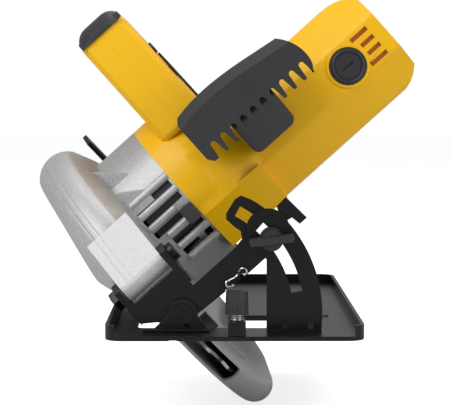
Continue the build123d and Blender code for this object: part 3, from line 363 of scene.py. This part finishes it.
def rivet_rings(shape):
    shape.normal_update()
    heads = [
        face for face in shape.faces
        if abs(face.normal.y) > 0.99 and face.calc_area() > RIVET_HEAD_AREA
    ]
    for inset, depth in RIVET_RINGS:
        for head in heads:
            bmesh.ops.inset_individual(shape, faces=[head], thickness=inset, depth=0)
            bmesh.ops.inset_individual(shape, faces=[head], thickness=RING_SLOPE, depth=depth)
    print(len(heads), "rivet faces ringed")


GRIP_CENTRE = leaned(40, 30, 90)
COVER_HALF, CROWN_WIDE, CROWN_DEEP = 0.0154, 0.0095, 0.0072
ROW_TURNS = (0, 22, 40, 56, 70, 82)  # degrees round the crown


def crown_cover(shape):
    for turn in ROW_TURNS:
        reach = COVER_HALF - CROWN_WIDE * (1 - sin(radians(turn)))
        for way in (-1, 1):
            cut_across(shape, GRIP_CENTRE + ACROSS * reach * way)
    shape.normal_update()
    skin = BVHTree.FromBMesh(shape)
    moves = []
    for vert in shape.verts:
        outward = Vector()
        for face in vert.link_faces:
            if abs(face.normal.dot(ACROSS)) < 0.5:
                outward += face.normal
        outward.normalize()
        away = vert.co - GRIP_CENTRE
        sideways = away.dot(ACROSS)
        if outward.dot(away.normalized()) < 0.45:
            continue
        share = max(0.0, (abs(sideways) - COVER_HALF + CROWN_WIDE) / CROWN_WIDE)
        drop = CROWN_DEEP * (1 - sqrt(max(0.0, 1 - share * share)))
        start = vert.co - ACROSS * sideways * 0.6 - outward * 0.0003
        far_side = skin.ray_cast(start, -outward)[3]
        room = far_side if far_side else CROWN_DEEP
        moves.append((vert, outward * min(drop, 0.8 * room)))
    for vert, move in moves:
        vert.co -= move
    print("crowned", len(moves), "points of the cover")


# %% [markdown]
# ## Parting lines of the upper guard
# The guard is cast in a split mould, which leaves two fine lines round its crown.  Four cuts across
# the guard make a narrow strip for each line, and the middle of the strip is pushed inwards.

# %% Press the fine lines
AXLE_Y, AXLE_Z = 12.0, 27.0
LINES_X, LINE_DEEP = (-37.2, -41.2), 0.28
LINE_CUTS = (-0.35, -0.12, 0.12, 0.35)
OUTSIDE_R, LINE_TURNS = 100.4, (50, 168)
TO_MM = FROM_MM.inverted()


def press_lines(shape):
    for x in LINES_X:
        for shift in LINE_CUTS:
            cut_across(shape, leaned(x + shift, 0, 0))
    for vert in shape.verts:
        place = TO_MM @ vert.co
        y, z = place.y - AXLE_Y, place.z - AXLE_Z
        in_middle = min(abs(place.x - x) for x in LINES_X) < 0.2
        on_crown = hypot(y, z) > OUTSIDE_R and LINE_TURNS[0] < degrees(atan2(z, y)) < LINE_TURNS[1]
        if in_middle and on_crown:
            inward = Vector((0, -y, -z)).normalized() * LINE_DEEP
            vert.co = FROM_MM @ (place + inward)


# %% [markdown]
# ## The front handle
# The handle's skirt ends in teeth that narrow towards their tips, so the lower corners of each gap are
# moved apart.  Then the edges where the outer face meets the top and the ends are asked for a
# wider rounding than the teeth.  The bevel may hold it back where the shape leaves no room.

# %% Taper the teeth and roll the outer edges
TOOTH_X, TOOTH_PITCH, TOOTH_SLOTS = 46.8, 7.52, 10
GAP_HALF, TIP_SHIFT = 1.85, 0.95
TIP_BELOW_Z, SKIRT_BEFORE_Y = 64, -71
HANDLE_ROLL = 0.0045
UPRIGHT_TURN = LEAN.to_3x3().inverted()


def taper_teeth(shape):
    for vert in shape.verts:
        place = TO_MM @ vert.co
        gap = min(TOOTH_SLOTS - 1, max(0, round((place.x - TOOTH_X) / TOOTH_PITCH)))
        off = place.x - TOOTH_X - gap * TOOTH_PITCH
        at_tip = place.z < TIP_BELOW_Z and place.y < SKIRT_BEFORE_Y
        if at_tip and abs(abs(off) - GAP_HALF) < 0.06:
            place.x += TIP_SHIFT if off > 0 else -TIP_SHIFT
            vert.co = FROM_MM @ place


def is_outer_edge(edge):
    front = [face for face in edge.link_faces if face.normal.y < -0.95]
    sides = [face for face in edge.link_faces if face.normal.y > -0.5]
    if not front or not sides:
        return False
    return (UPRIGHT_TURN @ sides[0].normal).z > -0.25 and edge.calc_length() > 0.003


def shape_handle(shape):
    taper_teeth(shape)
    rolled = bevel_hard_edges(shape, HANDLE_ROLL, segments=5, angle=40, where=is_outer_edge)
    print("front handle", rolled, "edges rolled")


# %% [markdown]
# ## The visible pieces
# Each visible piece gets its own width of rounding: pressed plate has small ones, castings and soft
# mouldings larger ones.  A few pieces have a detail step before or after it.

# %% Soften the visible pieces
BEFORE = {"pivot_rivets": rivet_rings, "grip_cover": crown_cover, "front_handle": shape_handle}
AFTER = {"upper_guard": press_lines}
EDGE_MM = {
    "shoe": 0.5, "front_pivot_bracket": 0.35, "rear_pivot_bracket": 0.35, "pivot_rivets": 0.15,
    "bevel_quadrant": 0.35, "fence_clamp_block": 0.4, "fence_thumb_screw": 0.12, "bevel_bolt": 0.4,
    "bevel_wing_knob": 0.5, "tilt_front_bracket": 0.35, "depth_pin": 0.5, "tilt_rear_bracket": 0.35,
    "depth_strip": 0.3, "upper_guard": 0.8, "lower_guard": 0.4, "guard_lever": 0.6, "gear_case": 0.45,
    "spindle_lock_button": 0.6, "motor_housing": 0.6, "brush_caps": 0.25, "handle_left": 0.35,
    "handle_right": 0.35, "grip_cover": 0.5, "side_grip_pad": 0.5, "trigger": 1.0,
    "lock_off_button": 0.5, "cord_gland": 0.6, "front_handle": 0.7, "front_handle_stem": 0.8,
    "depth_bolt": 0.3, "depth_lever": 0.6, "blade_bolt": 0.4, "outer_flange": 0.3,
}
for node, width_mm in EDGE_MM.items():
    soften(node, width_mm / 1000, before=BEFORE.get(node), after=AFTER.get(node))

# %% [markdown]
# ## Ribs on the gear case
# Between its cooling slots the case carries stout ribs, and its two webs end in narrow flanges.  Each
# is a block scaled from a unit cube, with its long edges rounded.

# %% Blocks with rounded long edges
def rounded_bar(shape, start, end, wide, tall, lift, rounding):
    along = Vector(end) - Vector(start)
    length = along.length
    along.normalize()
    lift = Vector(lift).normalized()
    across = along.cross(lift)
    turned = Matrix((along, across, lift)).transposed().to_4x4()
    centre = (Vector(start) + Vector(end)) / 2
    place = Matrix.Translation(centre) @ turned @ Matrix.Diagonal((length, wide, tall, 1))
    made = bmesh.ops.create_cube(shape, size=1, matrix=place)
    edges = {edge for vert in made["verts"] for edge in vert.link_edges}
    long_edges = [
        edge for edge in edges
        if abs((edge.verts[0].co - edge.verts[1].co).normalized().dot(along)) > 0.99
    ]
    bmesh.ops.bevel(
        shape, geom=long_edges, offset=rounding, offset_type="OFFSET", segments=3, profile=0.5,
        affect="EDGES", clamp_overlap=True, material=-1,
    )


CASE_Y, CASE_Z, CASE_R = 8.0, 60.5, 46.0
RIB_WIDE, RIB_TALL, RIB_ROUND = 4.7, 4.0, 1.7
FLANGE_WIDE, FLANGE_THICK, FLANGE_ROUND = 4.6, 1.3, 0.4
WEB_LEFT_X, WEB_LONG = -25, 22.4
ribs = bmesh.new()
for z, start, end in (
    (74.4, -16.5, 12.5), (65.1, -16.5, 12.5), (56.2, -16.5, 3.4), (46.1, -10.5, 3.4),
    (36.6, -10.5, 12.5), (27.4, -10.5, 12.5),
):
    # height of the rib and its two ends, clear of the spindle lock's button where they stop short
    wall = CASE_Y - sqrt(CASE_R ** 2 - (z - CASE_Z) ** 2)
    outward = (0, wall - CASE_Y, z - CASE_Z)
    rounded_bar(ribs, (start, wall, z), (end, wall, z), RIB_WIDE, RIB_TALL, outward, RIB_ROUND)
for web_y, top_z, foot_z in ((-25, 109, 87.8), (-34.5, 90.6, 76)):
    slope = Vector((WEB_LONG, 0, foot_z - top_z))
    left = Vector((WEB_LEFT_X, web_y, top_z))
    lift = (-slope.z, 0, slope.x)
    rounded_bar(ribs, left + slope * 0.1, left + slope, FLANGE_WIDE, FLANGE_THICK, lift, FLANGE_ROUND)
lean_over(ribs)
make_piece(ribs, "gear_case_ribs", "head", "silver_casting")

# %% [markdown]
# ## Behind the cooling slots
# The slots beside the brush cap are open. A thin strip of the dark amber finish inside each wall
# paints the orange glow of light shining through the yellow housing there: painted light, not a part of the
# saw.

# %% Strips of painted glow behind the slots
# painted light: these amber strips stand for the glow of light through the yellow plastic, not for a ring
# inside
amber = bmesh.new()
for wall_y in (-20.6, 44.6):
    left, right = (147.6, wall_y, 50), (161.4, wall_y, 50)
    rounded_bar(amber, left, right, wide=22, tall=0.5, lift=(0, 1, 0), rounding=0.1)
lean_over(amber)
make_piece(amber, "painted_vent_glow_strips", "head", "amber_plastic")

# %% [markdown]
# ## Scales
# The bevel quadrant carries a pressed angle scale along its arc, and the depth strip one along its
# edge.  Each tick is a thin raised bar, longer at the main divisions.  Two small gussets are stamped in
# the bend at the quadrant's foot.

# %% Ticks on an arc
def tick(shape, centre, along, across, lift, size):
    turned = Matrix((across, along, lift)).transposed().to_4x4()
    place = Matrix.Translation(centre) @ turned @ Matrix.Diagonal((*size, 1))
    bmesh.ops.create_cube(shape, size=1, matrix=place)


PLATE_FACE_Y = -0.1084
QUADRANT_R = 0.0768
scale = bmesh.new()
for step in range(10):
    turn = radians(2 + step * 5)
    outward = Vector((cos(turn), 0, sin(turn)))
    length = 0.0042 if step % 3 == 0 else 0.0026
    centre = PIVOT + outward * (QUADRANT_R - length / 2)
    centre.y = PLATE_FACE_Y
    sideways, lift = Vector((-sin(turn), 0, cos(turn))), Vector((0, -1, 0))
    tick(scale, centre, outward, sideways, lift, (0.0004, length, 0.0003))
for x in (0.0281, 0.0425):
    stamped = Matrix.Translation((x, PLATE_FACE_Y - 0.0002, 0.0042))
    bmesh.ops.create_cone(
        scale, segments=3, radius1=0.0019, radius2=0.0004, depth=0.0034, cap_ends=True, matrix=stamped
    )
make_piece(scale, "bevel_scale", "shoe", "black_steel")

STRIP_X, STRIP_PIN, STRIP_R = -20.0, (-92, 41), 210.2
strip_scale = bmesh.new()
for step in range(15):
    turn = radians(-5 + step * 1.9)
    outward = Vector((0, cos(turn), sin(turn)))
    length = 2.6 if step % 2 else 1.6
    centre = Vector((STRIP_X, *STRIP_PIN)) + outward * (STRIP_R - length / 2)
    sideways, lift = Vector((0, -sin(turn), cos(turn))), Vector((-1, 0, 0))
    tick(strip_scale, centre, outward, sideways, lift, (0.35, length, 0.24))
lean_over(strip_scale)
make_piece(strip_scale, "depth_scale", "tilt_frame", "zinc_steel")
print("ten ticks on the quadrant, fifteen on the depth strip")

# %% [markdown]
# ## The bracket's wire
# A bright wire hooks over two notches in the lower edge of the tilting bracket.  It is a smooth curve
# with a round section, which is made a mesh at once so that it can ride like any other piece.

# %% Bend the wire
WIRE_R = 0.00055


def bent_wire(name, points, body, slot):
    line = bpy.data.curves.new(name, "CURVE")
    line.dimensions = "3D"
    line.bevel_depth = WIRE_R
    line.bevel_resolution = 3
    line.use_fill_caps = True
    spline = line.splines.new("NURBS")
    spline.points.add(len(points) - 1)
    for point, place in zip(spline.points, points):
        point.co = (*place, 1)
    spline.order_u = 3
    spline.use_endpoint_u = True
    holder = bpy.data.objects.new(name, line)
    shape = bmesh.new()
    shape.from_mesh(holder.to_mesh())
    holder.to_mesh_clear()
    bpy.data.objects.remove(holder)
    make_piece(shape, name, body, slot)


wire = [
    (3.4, -109.2, 5.2), (1.0, -109.4, 5.0), (-0.4, -109.4, 7.0), (0.8, -109.3, 9.2), (3.4, -108.6, 8.6),
    (6.5, -107.0, 7.4), (9.0, -107.0, 7.4), (10.6, -108.6, 8.8), (13.2, -109.3, 9.0), (14.4, -109.4, 6.8),
    (13.0, -109.4, 4.8), (11.0, -109.2, 5.4),
]
print(len(wire), "points in the wire")
bent_wire("bracket_spring_wire", [leaned(*point) for point in wire], "tilt_frame", "spring_steel")

# %% [markdown]
# ## Small turned parts
# A turned ring stands round each brush cap, and a headed pin fills the hole in the bracket's tip.
# Both are a short profile spun a full turn about an axis that runs front to back.

# %% Spin the rings and the pin
def turned(shape, centre, profile):
    x, z = centre
    corners = [shape.verts.new((x + radius, y, z)) for radius, y in profile]
    edges = [shape.edges.new(pair) for pair in zip(corners, corners[1:])]
    if profile[0][0] > 0:
        edges.append(shape.edges.new((corners[-1], corners[0])))
    bmesh.ops.spin(
        shape, geom=corners + edges, cent=(x, 0, z), axis=(0, 1, 0), angle=2 * pi, steps=48,
        use_merge=True,
    )
    bmesh.ops.remove_doubles(shape, verts=shape.verts, dist=0.002)
    bmesh.ops.recalc_face_normals(shape, faces=shape.faces)


BRUSH_X, MOTOR_Z = 137.2, 49.5
rings = bmesh.new()
front_y, rear_y = [corner.y * 1000 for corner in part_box("brush_caps")]
print("caps from", round(front_y, 2), "to", round(rear_y, 2), "mm")
for face_y, out in ((front_y, -1), (rear_y, 1)):
    turned(rings, (BRUSH_X, MOTOR_Z), [
        (8.6, face_y - 0.3 * out), (8.8, face_y + 0.45 * out), (9.5, face_y + 0.7 * out),
        (10.2, face_y + 0.45 * out), (10.4, face_y - 0.3 * out),
    ])
lean_over(rings)
make_piece(rings, "brush_cap_rings", "head", "dark_plastic")

PIN_X, PIN_Z = 52.2, 13.4
pin = bmesh.new()
turned(pin, (PIN_X, PIN_Z), [
    (0, -106.1), (1.3, -105.9), (1.6, -105.5), (0.7, -105.3), (0.7, -104), (0, -104),
])
lean_over(pin)
make_piece(pin, "bracket_tip_pin", "tilt_frame", "black_steel")
